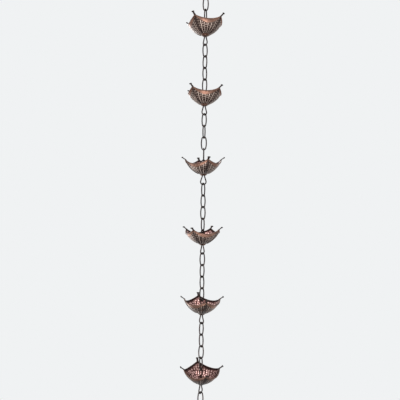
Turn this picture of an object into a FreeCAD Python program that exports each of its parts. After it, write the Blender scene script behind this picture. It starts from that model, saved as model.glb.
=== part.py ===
"""Rain chain: six four-pointed copper cups on a wire chain that hangs from an S-hook.

Millimetres, +Z up. The origin is the inner top of the hook's upper bend, where the chain is hung.
X runs across the front view and the chain hangs straight down.
"""
import math
import os

import FreeCAD
import Part

V = FreeCAD.Vector

# Chain wire and plain links
WIRE_D = 4.0
LINK_WIDTH = 20.5
LINK_END_RADIUS = 6.5
LINK_PITCH = 37.7
BEARING_GAP = 0.3

# S-hook at the top
HOOK_SEAT_RADIUS = 8.0
HOOK_EYE_RADIUS = 7.8
HOOK_LENGTH = 46.0
HOOK_TIP_TURN = 25.0
HOOK_CLOSE_TURN = 60.0

# Cup link: eye inside the cup, neck through its base, round loop below
EYE_RADIUS = 6.5
LOOP_RADIUS = 9.0
NECK_SPREAD = 5.6
NECK_BEND_RADIUS = 8.0
NECK_RISE = 5.0
LOOP_DROP = 29.0
CUP_LINK_PITCH = 2 * LINK_PITCH
HOLE_CLEARANCE = 0.5
SEAT_GAP = 0.1

# Cup, in its own frame with the base's underside at z = 0
SHEET = 1.0
FOOT_RADIUS = 8.0
BOWL_START_RADIUS = 13.5
BOWL_START_HEIGHT = 5.5
BOWL_ARC_RADIUS = 78.0
CORNER_RADIUS = 59.6
CORNER_HEIGHT = 51.6
RIM_DIP_HEIGHT = 38.0
BORDER_CORNER_HEIGHT = 47.0
BORDER_DIP_HEIGHT = 24.0
TIP_RADIUS = 70.0
TIP_HEIGHT = 58.5
HORN_INSET = 4.0
HORN_ROOT_WIDTH = 8.0
HORN_END_WIDTH = 6.0
HORN_THICKNESS = 3.2
ROLL_LENGTH = 10.0
ROLL_D = 4.4
RIM_BEAD_D = 3.6
RIB_D = 3.6
RIB_SETBACK = 1.3
CORNERS = 4
VEINS_PER_SIDE = 5
VEIN_WIDTH_DEG = 2.4
VEIN_HEIGHT = 0.6
VEIN_START_HEIGHT = 7.5

# How each piece is turned about the chain's line, in degrees from the front view
TOP_LINK_TURNS = (-3, 66)
CUP_LINK_TURNS = (-46, 34, -10, 50, -45, 54)
SPAN_LINK_TURNS = (
    (33, -43, 43, -34),
    (-35, 65, -13, 88),
    (52, -38, 31, -57),
    (-29, 40, -43, 39),
    (43, -43, 26, -58),
)
END_LINK_TURN = -8
CUP_CORNER_TURNS = (-33, -40, 14, -28, 12, 13)

# How far each cup has rocked on the flare of its cup link, in degrees
CUP_LEANS = (2.5, 1, 4, -1.5, -2.5, 4)

WIRE_R = WIRE_D / 2
SIDE_DEG = 360 / CORNERS
CUTTER = 4 * TIP_RADIUS
HOLE_RADIUS = NECK_SPREAD / 2 + WIRE_R + HOLE_CLEARANCE


def arc(centre_x, centre_z, radius, start_deg, end_deg):
    """Edge of a circle in the XZ plane, from one angle to the other through their middle."""
    points = []
    for angle in (start_deg, (start_deg + end_deg) / 2, end_deg):
        turn = math.radians(angle)
        points.append(V(centre_x + radius * math.cos(turn), 0, centre_z + radius * math.sin(turn)))
    return Part.Arc(*points).toShape()


def joined(edges):
    """Closed run of arcs, with a straight line between each arc's end and the next one's start."""
    path = []
    for edge, following in zip(edges, edges[1:] + edges[:1]):
        path.append(edge)
        end = edge.valueAt(edge.LastParameter)
        start = following.valueAt(following.FirstParameter)
        if end.distanceToPoint(start) > 1e-6:
            path.append(Part.makeLine(end, start))
    return path


def round_wire(edges):
    """Solid round wire bent along edges that run smoothly into each other."""
    path = Part.Wire(edges)
    start = edges[0].valueAt(edges[0].FirstParameter)
    heading = edges[0].tangentAt(edges[0].FirstParameter)
    section = Part.Wire(Part.makeCircle(WIRE_R, start, heading))
    return path.makePipeShell([section], True, True)


def crossing_tangent(dx, dz, radius_sum):
    """Lean from the vertical, in degrees, of the line that crosses between two circles."""
    distance = math.hypot(dx, dz)
    return math.degrees(math.asin(radius_sum / distance) - math.atan2(dx, dz))


def plain_link():
    """Closed oval of four arcs, hung with the wire that carries it centred on the local origin."""
    half_width = LINK_WIDTH / 2 - WIRE_R
    top = WIRE_D + BEARING_GAP - LINK_END_RADIUS
    bottom = LINK_END_RADIUS - LINK_PITCH
    middle = (top + bottom) / 2
    half_length = (top - bottom) / 2
    bow = half_width ** 2 + half_length ** 2 - LINK_END_RADIUS ** 2
    side_radius = bow / (2 * (half_width - LINK_END_RADIUS))
    side_x = side_radius - half_width
    lean = math.degrees(math.atan2(half_length, side_x))
    return round_wire([
        arc(0, top, LINK_END_RADIUS, lean, 180 - lean),
        arc(side_x, middle, side_radius, 180 - lean, 180 + lean),
        arc(0, bottom, LINK_END_RADIUS, 180 + lean, 360 - lean),
        arc(-side_x, middle, side_radius, -lean, lean),
    ])


def cup_link():
    """Waisted closed link: eye above, narrow neck and loop below, hung as a plain link is."""
    half = NECK_SPREAD / 2
    flare_x = half + NECK_BEND_RADIUS
    eye_z = WIRE_D + BEARING_GAP - EYE_RADIUS
    loop_z = LOOP_RADIUS - CUP_LINK_PITCH
    seat_z = LOOP_DROP - CUP_LINK_PITCH
    bearing = NECK_BEND_RADIUS - WIRE_R - SEAT_GAP
    lower_z = seat_z + math.sqrt(bearing ** 2 - (flare_x - HOLE_RADIUS) ** 2)
    upper_z = lower_z + NECK_RISE
    lean_up = crossing_tangent(flare_x, eye_z - upper_z, EYE_RADIUS + NECK_BEND_RADIUS)
    lean_low = crossing_tangent(flare_x, lower_z - loop_z, LOOP_RADIUS + NECK_BEND_RADIUS)
    edges = [
        arc(0, eye_z, EYE_RADIUS, -lean_up, 180 + lean_up),
        arc(-flare_x, upper_z, NECK_BEND_RADIUS, lean_up, 0),
        arc(-flare_x, lower_z, NECK_BEND_RADIUS, 0, -lean_low),
        arc(0, loop_z, LOOP_RADIUS, 180 - lean_low, 360 + lean_low),
        arc(flare_x, lower_z, NECK_BEND_RADIUS, 180 + lean_low, 180),
        arc(flare_x, upper_z, NECK_BEND_RADIUS, 180, 180 - lean_up),
    ]
    return round_wire(joined(edges))


def hanger_hook():
    """S-hook: open seat above, its lower bend closed round the first link."""
    upper_radius = HOOK_SEAT_RADIUS + WIRE_R
    upper_z = -HOOK_SEAT_RADIUS
    lower_z = HOOK_EYE_RADIUS - HOOK_LENGTH
    lean = crossing_tangent(0, upper_z - lower_z, upper_radius + HOOK_EYE_RADIUS)
    upper = arc(0, upper_z, upper_radius, -HOOK_TIP_TURN, 180 + lean)
    lower = arc(0, lower_z, HOOK_EYE_RADIUS, lean, -180 - HOOK_CLOSE_TURN)
    shank = Part.makeLine(upper.valueAt(upper.LastParameter), lower.valueAt(lower.FirstParameter))
    return round_wire([upper, shank, lower])


def bowl_centre():
    """Centre of the arc that the bowl's outside is turned from."""
    start = V(BOWL_START_RADIUS, 0, BOWL_START_HEIGHT)
    corner = V(CORNER_RADIUS, 0, CORNER_HEIGHT)
    chord = corner - start
    reach = math.sqrt(BOWL_ARC_RADIUS ** 2 - (chord.Length / 2) ** 2)
    inward = V(-chord.z, 0, chord.x).normalize()
    return (start + corner) * 0.5 + inward * reach


BOWL_CENTRE = bowl_centre()


def bowl_angle(height):
    """Angle on the bowl's arc, in degrees, at a height above the base."""
    return math.degrees(math.asin((height - BOWL_CENTRE.z) / BOWL_ARC_RADIUS))


def bowl_radius(height):
    """Outside radius of the bowl at a height above the base."""
    return BOWL_CENTRE.x + math.sqrt(BOWL_ARC_RADIUS ** 2 - (height - BOWL_CENTRE.z) ** 2)


def turned_sheet(low, high, outer_radius, thickness, sweep_deg):
    """Dished sheet turned about Z, even about the local X axis when it is only part of a turn."""
    outer = arc(BOWL_CENTRE.x, BOWL_CENTRE.z, outer_radius, low, high)
    inner = arc(BOWL_CENTRE.x, BOWL_CENTRE.z, outer_radius - thickness, high, low)
    face = Part.Face(Part.Wire(joined([outer, inner])))
    face.rotate(V(0, 0, 0), V(0, 0, 1), -sweep_deg / 2)
    return face.revolve(V(0, 0, 0), V(0, 0, 1), sweep_deg)


def spun(solid, first_deg):
    """One copy of a solid for each side of the cup, turned about Z from a first angle."""
    copies = []
    for index in range(CORNERS):
        turned = solid.copy()
        turned.rotate(V(0, 0, 0), V(0, 0, 1), first_deg + index * SIDE_DEG)
        copies.append(turned)
    return copies


def trim_line(dip_height, corner_height):
    """Low middle of one side's trim line on the bowl, and the way from it up to the corners' chord."""
    dip = V(bowl_radius(dip_height), 0, dip_height)
    chord_x = bowl_radius(corner_height) * math.cos(math.radians(SIDE_DEG / 2))
    return dip, V(chord_x, 0, corner_height) - dip


def trimmed(solid, dip_height, corner_height):
    """Solid cut along each side's leaning plane, which passes through a dip and two corners."""
    dip, up = trim_line(dip_height, corner_height)
    cutter = Part.makeBox(CUTTER, CUTTER, CUTTER, V(-CUTTER / 2, -CUTTER / 2, 0))
    cutter.Placement = FreeCAD.Placement(dip, FreeCAD.Rotation(V(0, 0, 1), V(up.z, 0, -up.x)))
    return solid.cut(Part.makeCompound(spun(cutter, SIDE_DEG / 2)))


def bent_rod(centre, axis, start, diameter, angle_deg):
    """Round rod bent to an arc about an axis, from a start point."""
    heading = axis.cross(start - centre)
    section = Part.Face(Part.Wire(Part.makeCircle(diameter / 2, start, heading)))
    return section.revolve(centre, axis, angle_deg)


def horn(root, tip):
    """Flat horn that narrows from the cup's corner to its rolled end."""
    across = (tip - root).cross(V(0, 1, 0)).normalize() * (HORN_THICKNESS / 2)
    sections = []
    for place, width in ((root, HORN_ROOT_WIDTH), (tip, HORN_END_WIDTH)):
        oval = Part.Ellipse(place + V(0, width / 2, 0), place + across, place)
        sections.append(Part.Wire(oval.toShape()))
    return Part.makeLoft(sections, True)


def rolled_end(place):
    """Rod across a horn's end, round at both of its own ends."""
    radius = ROLL_D / 2
    half = ROLL_LENGTH / 2 - radius
    profile = joined([arc(0, -half, radius, -90, 0), arc(0, half, radius, 0, 90)])
    rod = Part.Face(Part.Wire(profile)).revolve(V(0, 0, 0), V(0, 0, 1), 360)
    rod.Placement = FreeCAD.Placement(place, FreeCAD.Rotation(V(1, 0, 0), 90))
    return rod


def cup_foot():
    """Funnel foot with a flat base and the drain hole that the cup link passes through."""
    wall = V(BOWL_START_RADIUS, 0, BOWL_START_HEIGHT)
    inward = (BOWL_CENTRE - wall).normalize() * SHEET
    funnel = math.atan2(BOWL_START_HEIGHT, BOWL_START_RADIUS - FOOT_RADIUS)
    inner_foot = FOOT_RADIUS - SHEET * math.tan(funnel / 2)
    outline = Part.makePolygon([
        V(HOLE_RADIUS, 0, 0),
        V(FOOT_RADIUS, 0, 0),
        wall,
        wall + inward,
        V(inner_foot, 0, SHEET),
        V(HOLE_RADIUS, 0, SHEET),
        V(HOLE_RADIUS, 0, 0),
    ])
    return Part.Face(outline).revolve(V(0, 0, 0), V(0, 0, 1), 360)


def cup():
    """Four-cornered cup with its base's underside at z = 0 and its corners on the X and Y axes."""
    start = bowl_angle(BOWL_START_HEIGHT)
    top = bowl_angle(CORNER_HEIGHT + SHEET)
    bowl = turned_sheet(start, top, BOWL_ARC_RADIUS, SHEET, 360)

    vein_start = bowl_angle(VEIN_START_HEIGHT)
    vein_depth = VEIN_HEIGHT + SHEET / 2
    vein = turned_sheet(vein_start, top, BOWL_ARC_RADIUS + VEIN_HEIGHT, vein_depth, VEIN_WIDTH_DEG)
    veins = []
    for index in range(1, VEINS_PER_SIDE + 1):
        veins += spun(vein, index * SIDE_DEG / (VEINS_PER_SIDE + 1))
    field = trimmed(Part.makeCompound(veins), BORDER_DIP_HEIGHT, BORDER_CORNER_HEIGHT)
    bowl = trimmed(bowl.fuse(cup_foot()), RIM_DIP_HEIGHT, CORNER_HEIGHT)
    bowl = bowl.multiFuse(field.Solids)

    dip, up = trim_line(RIM_DIP_HEIGHT, CORNER_HEIGHT)
    corner_y = CORNER_RADIUS * math.sin(math.radians(SIDE_DEG / 2))
    rim_radius = (corner_y ** 2 + up.Length ** 2) / (2 * up.Length)
    rim_turn = 2 * math.degrees(math.asin(corner_y / rim_radius))
    rim_end = dip + up + V(0, corner_y, 0)
    rim_centre = dip + up * (rim_radius / up.Length)
    bead = bent_rod(rim_centre, V(up.z, 0, -up.x), rim_end, RIM_BEAD_D, -rim_turn)

    corner = V(CORNER_RADIUS, 0, CORNER_HEIGHT)
    tip = V(TIP_RADIUS, 0, TIP_HEIGHT)
    rib_height = CORNER_HEIGHT - RIB_SETBACK
    rib_end = V(bowl_radius(rib_height), 0, rib_height)
    rib_turn = bowl_angle(rib_height) - vein_start
    rib = bent_rod(BOWL_CENTRE, V(0, 1, 0), rib_end, RIB_D, rib_turn)
    root = corner - (tip - corner).normalize() * HORN_INSET
    trims = spun(bead, SIDE_DEG / 2)
    for piece in (rib, horn(root, tip), rolled_end(tip)):
        trims += spun(piece, 0)
    return bowl.multiFuse(trims).removeSplitter()


def placed(solid, height, turn_deg, lean=FreeCAD.Rotation()):
    """Copy of a solid, turned about Z, then leant and lifted to its height on the chain's line."""
    copy = solid.copy()
    turn = FreeCAD.Rotation(V(0, 0, 1), turn_deg)
    copy.Placement = FreeCAD.Placement(V(0, 0, height), lean * turn)
    return copy


def chain_nodes():
    """Every node's name and solid, from the hook down."""
    link = plain_link()
    carrier = cup_link()
    bowl = cup()
    nodes = [("hanger_hook", placed(hanger_hook(), 0, 90))]
    height = -HOOK_LENGTH
    for place, turn in enumerate(TOP_LINK_TURNS, start=1):
        nodes.append((f"top_link_{place}", placed(link, height, turn)))
        height -= LINK_PITCH
    units = zip(CUP_LINK_TURNS, CUP_CORNER_TURNS, CUP_LEANS, SPAN_LINK_TURNS + ((),))
    for unit, (carrier_turn, corner_turn, lean_deg, span_turns) in enumerate(units, start=1):
        nodes.append((f"cup_link_{unit}", placed(carrier, height, carrier_turn)))
        height -= CUP_LINK_PITCH
        flare_line = FreeCAD.Rotation(V(0, 0, 1), carrier_turn).multVec(V(1, 0, 0))
        lean = FreeCAD.Rotation(flare_line, lean_deg)
        nodes.append((f"cup_{unit}", placed(bowl, height + LOOP_DROP, corner_turn, lean)))
        for place, turn in enumerate(span_turns, start=1):
            nodes.append((f"span_{unit}_link_{place}", placed(link, height, turn)))
            height -= LINK_PITCH
    nodes.append(("end_link", placed(link, height, END_LINK_TURN)))
    return nodes


os.makedirs("parts", exist_ok=True)
for name, solid in chain_nodes():
    solid.exportStep(f"parts/{name}.step")
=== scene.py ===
import math

import bpy
import numpy as np
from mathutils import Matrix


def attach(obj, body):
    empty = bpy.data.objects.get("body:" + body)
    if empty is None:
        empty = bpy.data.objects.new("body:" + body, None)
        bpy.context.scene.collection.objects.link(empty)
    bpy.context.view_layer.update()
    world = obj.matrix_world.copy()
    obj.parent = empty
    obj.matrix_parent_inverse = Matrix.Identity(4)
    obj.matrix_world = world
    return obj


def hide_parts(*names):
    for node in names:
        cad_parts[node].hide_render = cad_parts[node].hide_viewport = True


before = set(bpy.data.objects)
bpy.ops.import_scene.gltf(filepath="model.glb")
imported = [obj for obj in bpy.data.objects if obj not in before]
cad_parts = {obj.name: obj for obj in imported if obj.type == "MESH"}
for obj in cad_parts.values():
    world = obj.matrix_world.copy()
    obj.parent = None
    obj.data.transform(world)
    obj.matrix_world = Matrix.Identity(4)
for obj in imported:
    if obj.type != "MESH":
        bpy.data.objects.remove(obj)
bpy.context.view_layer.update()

# %% [markdown]
# # A rain chain with four-pointed cups
# Rain runs down this chain from cup to cup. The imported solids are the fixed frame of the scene. The wire
# links and the hook already have their true shape there, so they stay and only get a finish. The six cups
# are pressed from thin copper, and their relief is too fine for the solids, so each cup gets a new surface
# of the same form, worked out from formulas.

# %% Sizes of the dished sheet, in millimetres
MM = 0.001
CORNERS = 4
SHEET = 1.0
BOWL_ARC_RADIUS = 78.0
BOWL_START = (13.5, 5.5)
CORNER = (59.6, 51.6)
print(f"sheet of {SHEET} mm, dished to an arc of {BOWL_ARC_RADIUS:.0f} mm")

# %% [markdown]
# ## The bowl's arc
# A cup starts as a flat sheet that is dished over a round form, so a slice through its axis is one arc. A
# Screw modifier could turn that arc about the axis. Here the arc's centre is worked out instead, because
# every later shape, such as the rim, a vein or a hammer mark, is a place on this arc.

# %% Arc of the bowl
def arc_centre():
    """Centre (radius, height) of the arc through the bowl's start and its corner.

    It lies on the chord's mirror line, as far in as the arc's radius asks.
    """
    start, corner = np.array(BOWL_START), np.array(CORNER)
    chord = corner - start
    length = np.hypot(*chord)
    reach = math.sqrt(BOWL_ARC_RADIUS ** 2 - (length / 2) ** 2)
    return (start + corner) / 2 + reach * np.array([-chord[1], chord[0]]) / length


def on_bowl(angle, turn, lift):
    """Point of the dished sheet: arc point at this angle, lifted along its normal, turned about Z."""
    radius = CENTRE[0] + (BOWL_ARC_RADIUS + lift) * np.cos(angle)
    height = CENTRE[1] + (BOWL_ARC_RADIUS + lift) * np.sin(angle)
    return np.stack([radius * np.cos(turn), radius * np.sin(turn), height + 0 * turn], axis=-1)


CENTRE = arc_centre()
START_ANGLE = math.atan2(BOWL_START[1] - CENTRE[1], BOWL_START[0] - CENTRE[0])
print(f"arc centre at radius {CENTRE[0]:.1f} mm, height {CENTRE[1]:.1f} mm")

# %% [markdown]
# ## The rim
# The dished sheet is trimmed so that its rim hangs in four curves between four corners. It could be cut
# with a Boolean, which leaves ragged faces. Each cut is really a plane that leans outward, and a plane and
# an arc meet at an angle that has a closed formula.

# %% Leaning planes that trim the bowl
RIM_DIP_HEIGHT = 38.0


def trim_angle(turn):
    """Angle on the bowl's arc where one leaning plane per side cuts it, at each turn about the axis.

    The plane goes through the two corners and the dip halfway between them. Put into the plane,
    radius = cx + R cos(a) and height = cz + R sin(a) give B cos(a) + C sin(a) = K, so the angle is
    atan2(C, B) - acos(K / sqrt(B^2 + C^2)).
    """
    half = math.pi / CORNERS
    aside = (turn % (2 * half)) - half
    dip_radius = CENTRE[0] + math.sqrt(BOWL_ARC_RADIUS ** 2 - (RIM_DIP_HEIGHT - CENTRE[1]) ** 2)
    lean = np.array([CORNER[0] * math.cos(half) - dip_radius, CORNER[1] - RIM_DIP_HEIGHT])
    lean /= np.hypot(*lean)
    b = lean[1] * BOWL_ARC_RADIUS * np.cos(aside)
    c = -lean[0] * BOWL_ARC_RADIUS
    k = lean[1] * (dip_radius - CENTRE[0] * np.cos(aside)) - lean[0] * (RIM_DIP_HEIGHT - CENTRE[1])
    return np.arctan2(c, b) - np.arccos(k / np.hypot(b, c))


print(f"rim dips {CORNER[1] - RIM_DIP_HEIGHT:.1f} mm between the corners")

# %% [markdown]
# ## The grid round the cup
# The relief has 24 ridges: four ribs and five veins on each side. Evenly spaced columns would waste points
# on the smooth ground, so a sine draws the columns towards the ridges.

# %% Columns of the grid
COLUMNS = 432
RIDGES = 24
GATHER = 0.5
even = np.arange(COLUMNS) * 2 * math.pi / COLUMNS
turns = even - GATHER / RIDGES * np.sin(RIDGES * even)
rim_angle = trim_angle(turns)
print(f"rim from {np.degrees(rim_angle.min()):.1f} to {np.degrees(rim_angle.max()):.1f} degrees on the arc")

# %% [markdown]
# ## The plain border
# Under the rim each side has a crescent of plain copper, thin at the corners and wide halfway between
# them. It could be a second sheet on top. On the real cup it is the part of the sheet that the relief does
# not reach, so here it is only a line: the rim, moved down the arc by a width that follows a sine.

# %% Lower line of the border
BORDER_AT_CORNER = 3.0
BORDER_BULGE = 8.5
border_width = BORDER_AT_CORNER + BORDER_BULGE * np.abs(np.sin(CORNERS / 2 * turns))
border_angle = rim_angle - border_width / BOWL_ARC_RADIUS
print(f"border {border_width.min():.1f} to {border_width.max():.1f} mm wide")

# %% [markdown]
# ## Relief outside: ribs, veins and small cells
# The outside looks like a leaf: ribs and veins run up from the foot, smaller veins set in halfway up, and
# short rungs divide the gaps into cells. A displacement map would need an image, so the height is a formula
# of the place on the sheet. Cells of the true size are too fine to show in the render, so they are drawn
# coarser, 8 mm long.

# %% Sizes of the outside relief
RIB_RADIUS = 1.8
VEIN_HEIGHT = 0.6
VEIN_HALF_WIDTH = math.radians(1.6)
SMALL_VEIN_RISE = (18.0, 30.0)  # along the arc, from nothing to full height
CELL_LENGTH = 8.0
CELL_HEIGHT = 0.4
CELL_SHIFT = 0.37  # share of a cell from one gap to the next
FOOT_RISE = (1.0, 4.0)  # along the arc, from the plain foot to full relief
BORDER_STEP = (-0.4, 0.8)  # below the border's line, from plain to full relief
RIB_DARKENING = (0.1, 1.0)  # height of a rib, from no trim to full trim
print(f"{RIDGES} ridges, cells {CELL_LENGTH} mm long")

# %% [markdown]
# ### Where the outside is rubbed
# After the dark wash the maker rubs the cup with a fine pad, which bares whatever stands proud. That could
# be read from the mesh's curvature, but the formula for the height already knows every ridge, so the same
# terms give the wear: most on the veins, less on the small veins, and least on the rungs between cells.

# %% Height and wear of the outside
VEIN_RUB_SPREAD = 1.4
SMALL_VEIN_RUBBED = 0.7
CELL_RUBBED = 0.5
FOOT_RUBBED = 0.4


def smooth_step(value, low, high):
    """0 below low, 1 above high, and a soft S between them."""
    share = np.clip((value - low) / (high - low), 0, 1)
    return share * share * (3 - 2 * share)


def off_ridge(turn, count):
    """Angle from the nearest of count evenly spaced ridges."""
    step = 2 * math.pi / count
    return (turn + step / 2) % step - step / 2


def outside_relief(angle, turn, phase):
    """Height of the outside and its shares of wear, border and trim, at an arc angle and a turn.

    Ribs are half-round bars. Veins are bell curves across the turn, with small ones halfway between
    them. Cells are cosine rungs along the arc, set off from one gap between veins to the next. All
    but the ribs stop at the border.
    """
    radius = CENTRE[0] + BOWL_ARC_RADIUS * np.cos(angle)
    along = BOWL_ARC_RADIUS * (angle - START_ANGLE)
    border_along = BOWL_ARC_RADIUS * (border_angle - START_ANGLE)
    field = smooth_step(border_along - along, *BORDER_STEP)
    risen = smooth_step(along, *FOOT_RISE)
    off_vein, off_small = off_ridge(turn, RIDGES), off_ridge(turn + math.pi / RIDGES, RIDGES)
    vein = np.exp(-(off_vein / VEIN_HALF_WIDTH) ** 2)
    rubbed = np.exp(-(off_vein / (VEIN_RUB_SPREAD * VEIN_HALF_WIDTH)) ** 2)
    small = smooth_step(along, *SMALL_VEIN_RISE) * np.exp(-(off_small / VEIN_HALF_WIDTH) ** 2)
    gap = np.floor(turn * RIDGES / (2 * math.pi))
    rung = 0.5 + 0.5 * np.cos(2 * math.pi * (along / CELL_LENGTH + CELL_SHIFT * gap + phase))
    cells = rung ** 3 * (1 - vein)
    relief = field * risen * (VEIN_HEIGHT * vein + CELL_HEIGHT * np.maximum(cells, small))
    across = radius * off_ridge(turn, CORNERS)
    rib = np.sqrt(np.clip(RIB_RADIUS ** 2 - across ** 2, 0, None)) * risen
    wear_and_painted_light = field * risen * np.clip(rubbed + CELL_RUBBED * cells + SMALL_VEIN_RUBBED * small, 0, 1)
    border = 1 - field + FOOT_RUBBED * field * (1 - risen)
    return np.maximum(relief, rib), wear_and_painted_light, border, smooth_step(rib, *RIB_DARKENING)


height = outside_relief((START_ANGLE + border_angle) / 2, turns, 0)[0]
print(f"relief up to {height.max():.1f} mm high halfway up the sheet")

# %% [markdown]
# ## Relief inside: hammer marks
# The inside shows the round marks of a planishing hammer, in rings round the drain hole. Each mark is a
# shallow bowl, and where two marks meet there is a low crease. A Voronoi texture would only paint that. The
# square of the distance to the nearest mark's middle gives it as a true height. Marks of 9 mm are a little
# coarser than real ones, so that they show in the render.

# %% Places of the hammer marks
MARK_PITCH = 9.0
MARK_RINGS = (4.0, 74.0)  # along the arc, from the first ring to the rim
RING_SPACING = 0.86 * MARK_PITCH
FEWEST_IN_RING = 6
OFF_SIDEWAYS, OFF_UPWARD = 0.2, 0.15  # shares of the pitch


def hammer_marks(seed):
    """Middles of the hammer marks: rings up the arc, as many per ring as fit, each a little off."""
    random = np.random.default_rng(seed)
    middles = []
    for along in np.arange(*MARK_RINGS, RING_SPACING):
        angle = START_ANGLE + along / BOWL_ARC_RADIUS
        radius = CENTRE[0] + BOWL_ARC_RADIUS * math.cos(angle)
        count = max(FEWEST_IN_RING, round(2 * math.pi * radius / MARK_PITCH))
        place = np.arange(count) + random.uniform(-OFF_SIDEWAYS, OFF_SIDEWAYS, count) + random.uniform()
        up = angle + random.uniform(-OFF_UPWARD, OFF_UPWARD, count) * MARK_PITCH / BOWL_ARC_RADIUS
        middles.append(on_bowl(up, place * 2 * math.pi / count, -SHEET))
    return np.concatenate(middles)


print(f"{len(hammer_marks(1))} hammer marks in a cup")

# %% [markdown]
# ### Depth of the marks
# The hammer does not reach the last few millimetres under the rim, so the marks fade out there. The same
# numbers give painted light: each mark's middle gets a painted highlight, and the creases and the plain band
# under the rim get painted shade.

# %% Height of the hammered inside
MARK_DEPTH = 0.55
MARK_REACH = 0.6 * MARK_PITCH
MARK_FADE = (2.0, 9.0)  # below the rim, from no marks to full marks


def inside_relief(points, middles, rim_distance):
    """Depth of the hammered sheet, and how dark it is.

    The depth is MARK_DEPTH times one less the squared share of a mark's reach, and darkness is what
    is left to one: painted shade in the creases and under the rim, and a painted highlight where it is low.
    """
    nearest = np.full(points.shape[:-1], np.inf)
    for middle in middles:
        nearest = np.minimum(nearest, ((points - middle) ** 2).sum(axis=-1))
    hollow = (1 - np.clip(nearest / MARK_REACH ** 2, 0, 1)) * smooth_step(rim_distance, *MARK_FADE)
    return MARK_DEPTH * hollow, 1 - hollow


print(f"marks fade out {MARK_FADE[1]} to {MARK_FADE[0]} mm under the rim")

# %% [markdown]
# ## The bead round the rim
# The edge of the sheet is rolled over a wire, which stiffens it and takes away the sharp edge. A bevelled
# curve would make the roll, but as a piece of its own. Here the roll is a strip of the cup's own grid: an
# open circle carried along the rim.

# %% Rim bead
RIM_BEAD_RADIUS = 1.8
BEAD_ROWS = 12
BEAD_ROLL = (-65, 238)  # degrees from the sheet's outside, over the top


def bead_points():
    """Open circle from the outside over the top to the inside, square to the rim at each column.

    A point is the rim plus the bead's radius times cos(roll) of the sheet's normal and sin(roll) of
    the direction that is square to both the normal and the rim.
    """
    rim = on_bowl(rim_angle, turns, 0)
    normal = np.stack([np.cos(rim_angle) * np.cos(turns), np.cos(rim_angle) * np.sin(turns),
                       np.sin(rim_angle)], axis=-1)
    run = np.roll(rim, -1, axis=0) - np.roll(rim, 1, axis=0)
    upward = np.cross(normal, run)
    upward /= np.linalg.norm(upward, axis=-1, keepdims=True)
    upward *= np.sign(upward[:, 2:])
    roll = np.radians(np.linspace(*BEAD_ROLL, BEAD_ROWS))[:, None, None]
    return rim + RIM_BEAD_RADIUS * (np.cos(roll) * normal + np.sin(roll) * upward)


print(f"bead top at a height of {bead_points()[..., 2].max():.1f} mm")

# %% [markdown]
# ## One cup as one closed surface
# Going round a slice of the cup gives a loop: up the outside, round the bead, down the inside, down the
# funnel of the foot and through the drain hole. Solidify could give the sheet its thickness, but inside and
# outside differ here. A loop carried round the axis is a ring-shaped grid with no poles and no open edge.

# %% Slices of the cup
FIELD_ROWS, BORDER_ROWS, INSIDE_ROWS = 40, 16, 40
BEAD_SEAT = 0.8  # the sheet ends this share of the bead's radius below the rim
BEAD_DARKENING = (0.1, 1.0)  # trim from the outside over the top
FOOT_INSIDE, FOOT_EDGE = 6, 2  # points of the profile inside the funnel and round the hole's edge
FOOT_PROFILE = np.array([  # radius and height, down inside, through the drain hole and up outside
    (11.9, 5.2), (10.2, 3.5), (8.6, 1.95), (7.7, 1.15), (7.0, 1.0), (6.0, 1.0), (5.45, 0.86), (5.3, 0.5),
    (5.45, 0.14), (6.0, 0.0), (7.4, 0.0), (8.15, 0.2), (9.4, 1.4), (10.9, 2.9), (12.4, 4.4),
])


def band(rows, value):
    """Rows of one value, all round the cup."""
    return np.full((rows, COLUMNS), float(value))


def cup_surface(phase, seed):
    """Grid of points (rows, columns, 3) of one cup, and the share of each finish at each point.

    The rows are even steps of the arc angle from the foot to the border, from there to the bead,
    round the bead, back down the inside, and then the foot's profile turned about the axis.
    """
    bead_foot = rim_angle - BEAD_SEAT * RIM_BEAD_RADIUS / BOWL_ARC_RADIUS
    share = np.linspace(0, 1, FIELD_ROWS + 1)[:-1, None]
    field_angle = START_ANGLE + share * (border_angle - START_ANGLE)
    share = np.linspace(0, 1, BORDER_ROWS)[:, None]
    angle = np.concatenate([field_angle, border_angle + share * (bead_foot - border_angle)])
    height, wear_and_painted_light, border, trim = outside_relief(angle, turns, phase)

    share = np.linspace(1, 0, INSIDE_ROWS)[:, None]
    inner_angle = START_ANGLE + share * (bead_foot - START_ANGLE)
    plain = on_bowl(inner_angle, turns, -SHEET)
    depth, painted_shade = inside_relief(plain, hammer_marks(seed), BOWL_ARC_RADIUS * (rim_angle - inner_angle))

    foot = np.stack([FOOT_PROFILE[:, :1] * np.cos(turns), FOOT_PROFILE[:, :1] * np.sin(turns),
                     FOOT_PROFILE[:, 1:] + 0 * turns], axis=-1)
    points = np.concatenate([on_bowl(angle, turns, height), bead_points(),
                             on_bowl(inner_angle, turns, depth - SHEET), foot])
    foot_rows, foot_outside = len(foot), len(foot) - FOOT_INSIDE - FOOT_EDGE
    bead_trim = band(BEAD_ROWS, 1) * np.linspace(*BEAD_DARKENING, BEAD_ROWS)[:, None]
    shares = {
        # The wear share holds the outside's real rubbing. Inside it holds painted shade in the creases and
        # under the rim, which leaves a painted highlight in each hammer mark's middle.
        "wear_and_painted_light": [wear_and_painted_light, band(BEAD_ROWS, 0), painted_shade, band(foot_rows, 0)],
        "border": [border, band(BEAD_ROWS, 1), band(INSIDE_ROWS + foot_rows - foot_outside, 0),
                   band(foot_outside, FOOT_RUBBED)],
        "trim": [trim, bead_trim, band(INSIDE_ROWS + foot_rows, 0)],
        "inside": [band(len(angle) + BEAD_ROWS, 0), band(INSIDE_ROWS + FOOT_INSIDE, 1),
                   band(foot_rows - FOOT_INSIDE, 0)],
    }
    return points, {key: np.concatenate(bands) for key, bands in shares.items()}


points, shares = cup_surface(0.0, 1)
print(f"cup grid of {points.shape[0]} by {points.shape[1]} points")

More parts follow.
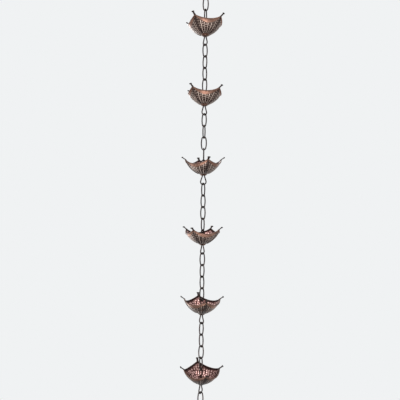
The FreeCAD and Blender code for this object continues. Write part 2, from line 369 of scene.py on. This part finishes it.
# %% [markdown]
# ## Horns with a rolled end
# Each corner is drawn out to a flat horn, and the horn's end is rolled to a short rod across it. Both are
# tubes: an oval carried along a straight line, with ends that close in a point. The sheet could be bent
# with a modifier, but two tubes give the same form with no seam to mend.

# %% Horn and rolled end
TIP = (70.0, 58.5)
HORN_INSET = 4.0
HORN_ROOT_WIDTH, HORN_END_WIDTH = 8.0, 6.0
HORN_THICKNESS = 3.2
HORN_ROUNDING = 8
ROLL_LENGTH = 10.0
ROLL_RADIUS = 2.18
TUBE_ROWS, TUBE_COLUMNS = 26, 24


def tube_surface(line, heading, aside, wide, thick):
    """Grid of a tube: at each point of a line an oval, wide along aside and thick square to it."""
    above = np.cross(heading, aside)
    around = (np.arange(TUBE_COLUMNS) * 2 * math.pi / TUBE_COLUMNS)[None, :, None]
    oval = wide[:, None, None] * np.cos(around) * aside + thick[:, None, None] * np.sin(around) * above
    return line[:, None] + oval


def horn_surfaces():
    """Grids of one corner's horn and of the rod rolled at its end.

    The horn's width falls evenly along the line, and both of its ends are rounded off by the eighth
    root of 1 - t^8. The rod keeps its radius up to one radius from its ends, and then follows a circle.
    """
    corner, tip = np.array([CORNER[0], 0, CORNER[1]]), np.array([TIP[0], 0, TIP[1]])
    length = np.linalg.norm(tip - corner)
    ahead, aside = (tip - corner) / length, np.array([0.0, 1.0, 0.0])
    t = np.cos(np.linspace(math.pi, 0, TUBE_ROWS))
    share = (t + 1) / 2
    rounding = np.clip(1 - t ** HORN_ROUNDING, 0, None) ** (1 / HORN_ROUNDING)
    width = HORN_ROOT_WIDTH + share * (HORN_END_WIDTH - HORN_ROOT_WIDTH)
    line = corner + (share * (length + HORN_INSET) - HORN_INSET)[:, None] * ahead
    horn = tube_surface(line, ahead, aside, rounding * width / 2, rounding * HORN_THICKNESS / 2)
    past = np.clip(np.abs(t) * ROLL_LENGTH / 2 - (ROLL_LENGTH / 2 - ROLL_RADIUS), 0, None)
    radius = np.sqrt(np.clip(ROLL_RADIUS ** 2 - past ** 2, 0, None))
    roll = tube_surface(tip + (t * ROLL_LENGTH / 2)[:, None] * aside, aside, ahead, radius, radius)
    return horn, roll


horn, roll = horn_surfaces()
print(f"horn {np.ptp(horn[..., 1]):.1f} mm wide, rolled end out to a radius of {roll[..., 0].max():.1f} mm")

# %% [markdown]
# ## Faces of the grids
# Blender does not know that the points form a grid, so each face has to name its four points. Bridging
# edge loops would do it by hand. In a grid a point's number is its row times the columns plus its column,
# so the numbers of all neighbours come from whole arrays.

# %% Faces of a ring and of a tube
def ring_faces(rows, columns):
    """Quads of a grid that closes both ways: each point joins its neighbours in row and column."""
    row, column = np.meshgrid(np.arange(rows), np.arange(columns), indexing="ij")
    below, beside = (row + 1) % rows, (column + 1) % columns
    quads = np.stack([row * columns + column, row * columns + beside,
                      below * columns + beside, below * columns + column], axis=-1)
    return quads.reshape(-1, 4)


def capped_faces(rows, columns, first):
    """Quads between rows 1 .. rows - 2 and a fan of triangles to the point at either end."""
    row, column = np.meshgrid(np.arange(rows - 3), np.arange(columns), indexing="ij")
    beside = (column + 1) % columns
    base = first + 1
    quads = np.stack([row * columns + column, row * columns + beside,
                      (row + 1) * columns + beside, (row + 1) * columns + column], axis=-1)
    ring = np.arange(columns)
    following = (ring + 1) % columns
    last = base + (rows - 2) * columns
    end = (rows - 3) * columns
    start_fan = np.stack([np.full(columns, first), base + following, base + ring], axis=-1)
    end_fan = np.stack([np.full(columns, last), base + end + ring, base + end + following], axis=-1)
    return quads.reshape(-1, 4) + base, np.concatenate([start_fan, end_fan])


print(f"{len(ring_faces(*points.shape[:2]))} faces on a bowl")

# %% [markdown]
# ## From arrays to a mesh
# A mesh takes flat arrays: points, face corners and face starts. from_pydata would do the same from lists,
# more slowly. The finish shares go in as attributes, one number per point, for the material to read.

# %% Mesh from arrays
def mesh_object(name, points, faces, attributes):
    """Object with a smooth mesh: points (n, 3) in metres, face arrays, one value per point each."""
    mesh = bpy.data.meshes.new(name)
    corners = np.concatenate([face.ravel() for face in faces]).astype(np.int32)
    sizes = np.concatenate([np.full(len(face), face.shape[1]) for face in faces])
    starts = np.concatenate([[0], np.cumsum(sizes)[:-1]]).astype(np.int32)
    mesh.vertices.add(len(points))
    mesh.vertices.foreach_set("co", points.astype(np.float32).ravel())
    mesh.loops.add(len(corners))
    mesh.loops.foreach_set("vertex_index", corners)
    mesh.polygons.add(len(starts))
    mesh.polygons.foreach_set("loop_start", starts)
    mesh.update(calc_edges=True)
    mesh.validate()
    mesh.polygons.foreach_set("use_smooth", np.ones(len(starts), dtype=bool))
    for key, values in attributes.items():
        attribute = mesh.attributes.new(key, "FLOAT", "POINT")
        attribute.data.foreach_set("value", values.astype(np.float32).ravel())
    piece = bpy.data.objects.new(name, mesh)
    bpy.context.scene.collection.objects.link(piece)
    return piece


print("each point of a cup carries:", ", ".join(shares))

# %% [markdown]
# ## Six cups on the chain
# Each cup hangs a little differently: it is turned about the chain's line, and it rocks on the two wires
# that it rests on. An object could carry that turn, but a pattern on object coordinates would then slide in
# the export. Here the turn goes into the points, and every object stays at the origin.

# %% Turns of a cup, in degrees
CUP_CORNER_TURNS = (-33, -40, 14, -28, 12, 13)
CUP_LINK_TURNS = (-46, 34, -10, 50, -45, 54)
CUP_LEANS = (2.5, 1, 4, -1.5, -2.5, 4)


def turned(points, degrees):
    """Points turned about Z."""
    c, s = math.cos(math.radians(degrees)), math.sin(math.radians(degrees))
    return points @ np.array([[c, s, 0], [-s, c, 0], [0, 0, 1]])


def rocked(points, line_degrees, degrees):
    """Points rocked about a level line through the origin: that line to X, a turn about X, and back."""
    c, s = math.cos(math.radians(degrees)), math.sin(math.radians(degrees))
    level = turned(points, -line_degrees)
    return turned(level @ np.array([[1, 0, 0], [0, c, s], [0, -s, c]]), line_degrees)


print(f"cups lean {min(CUP_LEANS)} to {max(CUP_LEANS)} degrees")

# %% [markdown]
# ### Putting a cup together
# The bowl is one ring-shaped grid, and the four horns and rolled ends are eight tubes that sink into its
# corners. Joining objects with Ctrl+J would give the same mesh. Here the arrays are joined, so that each
# cup is one piece, as it is on the real chain. It rides on the body of its own cup link.

# %% Cups at their places
FIRST_CUP_BASE = -167.8
CUP_SPACING = 226.2
CELL_PHASE = 0.31  # share of a cell from one cup to the next


def make_cup(number, corner_turn, link_turn, lean):
    """One cup with its four horns, at the place of its solid."""
    grid, shares = cup_surface(CELL_PHASE * number, number)
    rows, columns = grid.shape[:2]
    parts, quads, fans = [grid.reshape(-1, 3)], [ring_faces(rows, columns)], []
    first = rows * columns
    for corner in range(CORNERS):
        for tube in horn_surfaces():
            tube = turned(tube, corner * 360 / CORNERS)
            parts.append(np.concatenate([tube[0, :1], tube[1:-1].reshape(-1, 3), tube[-1, :1]]))
            tube_quads, tube_fans = capped_faces(TUBE_ROWS, TUBE_COLUMNS, first)
            quads.append(tube_quads)
            fans.append(tube_fans)
            first += len(parts[-1])
    points = rocked(turned(np.concatenate(parts), corner_turn), link_turn, lean)
    points[:, 2] += FIRST_CUP_BASE - (number - 1) * CUP_SPACING
    horn_points = len(points) - rows * columns
    values = {key: np.concatenate([value.ravel(), np.full(horn_points, float(key == "trim"))])
              for key, value in shares.items()}
    faces = [np.concatenate(quads), np.concatenate(fans)]
    piece = mesh_object(f"copper_cup_{number}", points * MM, faces, values)
    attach(piece, f"cup_unit_{number}")
    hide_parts(f"cup_{number}")
    return piece


places = zip(CUP_CORNER_TURNS, CUP_LINK_TURNS, CUP_LEANS)
cups = [make_cup(number, *place) for number, place in enumerate(places, start=1)]
print(f"{len(cups)} cups of {len(cups[0].data.polygons)} faces")

# %% [markdown]
# ## Colours and nodes
# Colours are written as they would be picked on a screen and turned to the linear values that the shader
# works with. Nodes could be placed by hand in the editor. One helper adds a node here, sets its options and
# colour stops, and fills its inputs, so that a material reads as a short list.

# %% Helpers for materials
def linear(code):
    """sRGB hex code to linear RGBA."""
    srgb = np.array([int(code[i:i + 2], 16) for i in (1, 3, 5)]) / 255
    rgb = np.where(srgb <= 0.04045, srgb / 12.92, ((srgb + 0.055) / 1.055) ** 2.4)
    return (*[float(value) for value in rgb], 1.0)


def emptied(owner):
    """Material or world with an empty node tree."""
    owner.use_nodes = True
    owner.node_tree.nodes.clear()
    return owner


def add_node(owner, kind, settings=None, stops=(), **inputs):
    """Adds a node to a material or world: options, colour stops, and inputs as values or links.

    An input goes by its label, with _ for a space, or by its place, as in _0.
    """
    tree = owner.node_tree
    node = tree.nodes.new(kind)
    for key, value in (settings or {}).items():
        setattr(node, key, value)
    for place, (position, code) in enumerate(stops):
        elements = node.color_ramp.elements
        element = elements[place] if place < 2 else elements.new(position)
        element.position, element.color = position, linear(code)
    for key, value in inputs.items():
        socket = node.inputs[int(key[1:]) if key[1:].isdigit() else key.replace("_", " ")]
        if isinstance(value, bpy.types.NodeSocket):
            tree.links.new(value, socket)
        else:
            socket.default_value = value
    return node


print("copper in linear light:", [round(value, 3) for value in linear("#b87355")])

# %% [markdown]
# ## Antiqued copper
# The cups are copper that was darkened with a sulphur wash and rubbed back. The eye sees warm brown on the
# plain border and pale worn edges over nearly black hollows outside. Inside, each hammer mark has a painted
# pink highlight in its middle, with painted shade in the creases and under the rim. An image could paint
# that. The shares in the mesh already say where each finish lies, so noise only has to break up their
# edges. Clouds are 14 mm wide and the grain is 2.5 mm, coarser than real grain, so that it shows.

# %% Antiqued copper: noise, wear and painted light
COPPER_CLOUD, COPPER_GRAIN = 14.0, 2.5
copper = emptied(bpy.data.materials.new("antiqued copper, planished"))
place = add_node(copper, "ShaderNodeTexCoord").outputs["Object"]
cloud, grain = [
    add_node(copper, "ShaderNodeTexNoise", Vector=place, Scale=1 / (size * MM), Detail=detail).outputs["Fac"]
    for size, detail in ((COPPER_CLOUD, 4.0), (COPPER_GRAIN, 5.0))]
share = {key: add_node(copper, "ShaderNodeAttribute", {"attribute_name": key}).outputs["Fac"]
         for key in ("wear_and_painted_light", "border", "trim", "inside")}
shaken = {}
for side, amount in (("outside", 0.4), ("inside", 0.5)):
    raised = add_node(copper, "ShaderNodeMath", {"operation": "MULTIPLY_ADD"},
                      _0=cloud, _1=amount, _2=share["wear_and_painted_light"])
    shaken[side] = add_node(copper, "ShaderNodeMath", {"operation": "SUBTRACT"},
                            _0=raised.outputs[0], _1=amount / 2).outputs[0]
print(f"wear broken up by clouds of {COPPER_CLOUD} mm")

# %% [markdown]
# ### Tones of the copper
# A colour ramp turns each share into the tones of one finish, and mixes lay the finishes over each other:
# border over field, the inside over both, and the dark trim of ribs, bead and horns on top. They could be
# separate materials, but then the finishes would meet along the edges of faces.

# %% Antiqued copper: tones
field = add_node(copper, "ShaderNodeValToRGB", Fac=shaken["outside"],
                 stops=((0.1, "#2a1f1c"), (0.45, "#4d3d37"), (1.0, "#b09e93")))
border = add_node(copper, "ShaderNodeValToRGB", Fac=cloud,
                  stops=((0.3, "#6e4f42"), (0.5, "#806052"), (0.7, "#9b7868")))
# The inside's tones are painted light: the pale pink stop is a painted highlight in each hammer mark's
# middle, and the dark stops are painted shade in the creases and under the rim.
inner_tone_and_highlight = add_node(copper, "ShaderNodeValToRGB", Fac=shaken["inside"],
                 stops=((0.05, "#d8b4ad"), (0.3, "#8d6660"), (0.65, "#533936"), (1.0, "#2a1b1a")))
trim = add_node(copper, "ShaderNodeValToRGB", Fac=grain,
                stops=((0.35, "#1d1615"), (0.6, "#3a2f2c"), (0.75, "#5c4f4a")))
colour = field.outputs[0]
for layer, finish in (("border", border), ("inside", inner_tone_and_highlight), ("trim", trim)):
    colour = add_node(copper, "ShaderNodeMix", {"data_type": "RGBA"},
                      _0=share[layer], _6=colour, _7=finish.outputs[0]).outputs[2]
print("finishes from the lowest to the highest: field, border, inside, trim")

# %% [markdown]
# ### Gloss of the copper
# Copper is a metal, so its colour is the colour of its reflections, and Metallic is 1. The grain makes the
# gloss uneven, as wax and handling do. Hammering also polishes, so the inside is a little glossier.

# %% Antiqued copper: gloss
satin = add_node(copper, "ShaderNodeMapRange", Value=grain,
                 From_Min=0.3, From_Max=0.7, To_Min=0.26, To_Max=0.46)
rough = add_node(copper, "ShaderNodeMath", {"operation": "MULTIPLY_ADD"},
                 _0=share["inside"], _1=-0.12, _2=satin.outputs[0])
bump = add_node(copper, "ShaderNodeBump", Height=grain, Strength=0.25, Distance=0.6 * MM)
shader = add_node(copper, "ShaderNodeBsdfPrincipled", Base_Color=colour, Metallic=1.0,
                  Roughness=rough.outputs[0], Normal=bump.outputs[0])
add_node(copper, "ShaderNodeOutputMaterial", Surface=shader.outputs[0])
for cup in cups:
    cup.data.materials.append(copper)
print(f"{copper.name}: {len(copper.node_tree.nodes)} nodes")

# %% [markdown]
# ## Oxidised wire
# The links and the hook are drawn copper wire, browned almost to black, with paler places where links have
# rubbed. The eye sees a dull, soft gloss. The solids stay and take this finish in their own material slots.
# The slots are linked to the object, so that the solids' meshes are left as they are. The grain of 1.2 mm
# is coarser than real drawing marks, so that it shows.

# %% Oxidised wire of the links
WIRE_CLOUD, WIRE_GRAIN = 9.0, 1.2
wire = emptied(bpy.data.materials.new("oxidised copper wire, drawn"))
place = add_node(wire, "ShaderNodeTexCoord").outputs["Object"]
cloud, grain = [
    add_node(wire, "ShaderNodeTexNoise", Vector=place, Scale=1 / (size * MM), Detail=4.0).outputs["Fac"]
    for size in (WIRE_CLOUD, WIRE_GRAIN)]
tone = add_node(wire, "ShaderNodeValToRGB", Fac=cloud, stops=((0.35, "#2b2625"), (0.7, "#5a504d")))
rough = add_node(wire, "ShaderNodeMapRange", Value=grain,
                 From_Min=0.3, From_Max=0.7, To_Min=0.35, To_Max=0.55)
bump = add_node(wire, "ShaderNodeBump", Height=grain, Strength=0.2, Distance=0.3 * MM)
shader = add_node(wire, "ShaderNodeBsdfPrincipled", Base_Color=tone.outputs[0], Metallic=1.0,
                  Roughness=rough.outputs[0], Normal=bump.outputs[0])
add_node(wire, "ShaderNodeOutputMaterial", Surface=shader.outputs[0])
cup_nodes = {f"cup_{number}" for number in range(1, len(cups) + 1)}
wired = [node for name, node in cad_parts.items() if name not in cup_nodes]
for node in wired:
    node.material_slots[0].link = "OBJECT"
    node.material_slots[0].material = wire
print(f"{len(wired)} wire pieces")

# %% [markdown]
# ## Floor
# The chain hangs in the air, so the floor lies well below its last link and takes the shadow. A wide plane
# would draw a horizon across the picture. This is a disc of matt plaster, dull and pale to the eye, that
# fades out towards its edge.

# %% Floor disc
FLOOR_HEIGHT = -1.70
FLOOR_RADIUS = 0.55
FLOOR_FADE = (0.5 * FLOOR_RADIUS, 0.98 * FLOOR_RADIUS)
FLOOR_COLUMNS = 96


def floor_disc():
    """Disc: a ring of points at a fixed radius, closed by one face."""
    around = np.arange(FLOOR_COLUMNS) * 2 * math.pi / FLOOR_COLUMNS
    ring = np.stack([FLOOR_RADIUS * np.cos(around), FLOOR_RADIUS * np.sin(around),
                     np.full(FLOOR_COLUMNS, FLOOR_HEIGHT)], axis=-1)
    return mesh_object("floor", ring, [np.arange(FLOOR_COLUMNS)[None, :]], {})


plaster = emptied(bpy.data.materials.new("pale plaster floor"))
matt = add_node(plaster, "ShaderNodeBsdfPrincipled", Base_Color=linear("#d6d8da"), Roughness=0.9)
place = add_node(plaster, "ShaderNodeTexCoord").outputs["Object"]
level = add_node(plaster, "ShaderNodeVectorMath", {"operation": "MULTIPLY"}, _0=place, _1=(1, 1, 0))
out = add_node(plaster, "ShaderNodeVectorMath", {"operation": "LENGTH"}, _0=level.outputs[0])
fade = add_node(plaster, "ShaderNodeMapRange", {"interpolation_type": "SMOOTHSTEP"},
                Value=out.outputs["Value"], From_Min=FLOOR_FADE[0], From_Max=FLOOR_FADE[1])
clear = add_node(plaster, "ShaderNodeBsdfTransparent")
mixed = add_node(plaster, "ShaderNodeMixShader",
                 _0=fade.outputs[0], _1=matt.outputs[0], _2=clear.outputs[0])
add_node(plaster, "ShaderNodeOutputMaterial", Surface=mixed.outputs[0])
floor = floor_disc()
floor.data.materials.append(plaster)
print(f"floor at {FLOOR_HEIGHT} m")

# %% [markdown]
# ## Pale ground
# The ground behind the chain is plain and pale. A backdrop would show its edges in other views, so the
# world is the ground. Light Path tells which rays see it: the camera, and reflections in the metal. All
# other rays get a softer grey, so that the lamps shape the cups.

# %% World
world = emptied(bpy.data.worlds.new("pale studio"))
bpy.context.scene.world = world
path = add_node(world, "ShaderNodeLightPath").outputs
mirrored = add_node(world, "ShaderNodeMath", {"operation": "MAXIMUM"},
                    _0=path["Is Glossy Ray"], _1=path["Is Transmission Ray"])
seen = add_node(world, "ShaderNodeMath", {"operation": "MAXIMUM"},
                _0=path["Is Camera Ray"], _1=mirrored.outputs[0])
ambient = add_node(world, "ShaderNodeBackground", Color=linear("#c9ccd0"), Strength=0.5)
ground = add_node(world, "ShaderNodeBackground", Color=linear("#f0f2f3"), Strength=1.0)
either = add_node(world, "ShaderNodeMixShader",
                  _0=seen.outputs[0], _1=ambient.outputs[0], _2=ground.outputs[0])
add_node(world, "ShaderNodeOutputWorld", Surface=either.outputs[0])
print(f"{world.name}: {len(world.node_tree.nodes)} nodes")

# %% [markdown]
# ## Lamps
# Metal shows its lamps as reflections, so each lamp's place is found by following the view's mirror
# direction from a cup. Key and fill hang high and light up the hammer marks in the lower cups. Low front
# shines on the borders of the upper cups, low left on their sides, and back gives the rims an edge. Sun
# lamps would give hard sparks, so these are wide panels.

# %% Soft lamps
LAMPS = {  # name: place, target, width and height in metres, and power in watts
    "key": ((0.65, -0.5, 0.9), (0, 0, -0.8), (0.6, 0.8), 9.0),
    "fill": ((-0.65, -0.5, 0.9), (0, 0, -0.8), (0.6, 0.8), 7.0),
    "back": ((-0.6, 1.5, 0.2), (0, 0, -0.7), (0.8, 1.4), 12.0),
    "low front": ((0.0, -0.75, -1.36), (0, 0, -0.25), (0.7, 0.6), 7.0),
    "low left": ((-0.95, 1.0, -1.75), (0, 0, -0.6), (0.8, 0.8), 5.0),
}


def add_lamp(name, place, target, size, power):
    """Rectangular lamp turned to face a target: tilted from straight down, then turned about Z."""
    light = bpy.data.lights.new(name, "AREA")
    light.shape = "RECTANGLE"
    light.size, light.size_y = size
    light.energy = power
    lamp = bpy.data.objects.new(name, light)
    lamp.location = place
    x, y, z = np.array(target) - np.array(place)
    lamp.rotation_euler = (math.atan2(math.hypot(x, y), -z), 0, math.atan2(-x, y))
    bpy.context.scene.collection.objects.link(lamp)


for name, values in LAMPS.items():
    add_lamp(name, *values)
print(f"{len(LAMPS)} lamps")

# %% [markdown]
# ## Camera
# The camera stands at the height of the middle cups and looks level, so the upper cups show their outside
# and the lower ones their inside. A Track To constraint could aim it. Two angles are enough here: a quarter
# turn up from looking down, and a slight roll, because the chain in the picture is not quite upright.

# %% Camera
CAMERA_PLACE = (-0.0100, -1.4306, -0.6995)
CAMERA_ROLL = 0.77
camera_data = bpy.data.cameras.new("camera")
camera_data.sensor_width = 36.0
camera_data.lens = 39.6
camera = bpy.data.objects.new("camera", camera_data)
camera.location = CAMERA_PLACE
camera.rotation_euler = (math.radians(90), math.radians(-CAMERA_ROLL), 0)
bpy.context.scene.collection.objects.link(camera)
bpy.context.scene.camera = camera
bpy.context.scene.view_settings.view_transform = "Standard"
print(f"camera {-CAMERA_PLACE[1]} m in front of the chain")
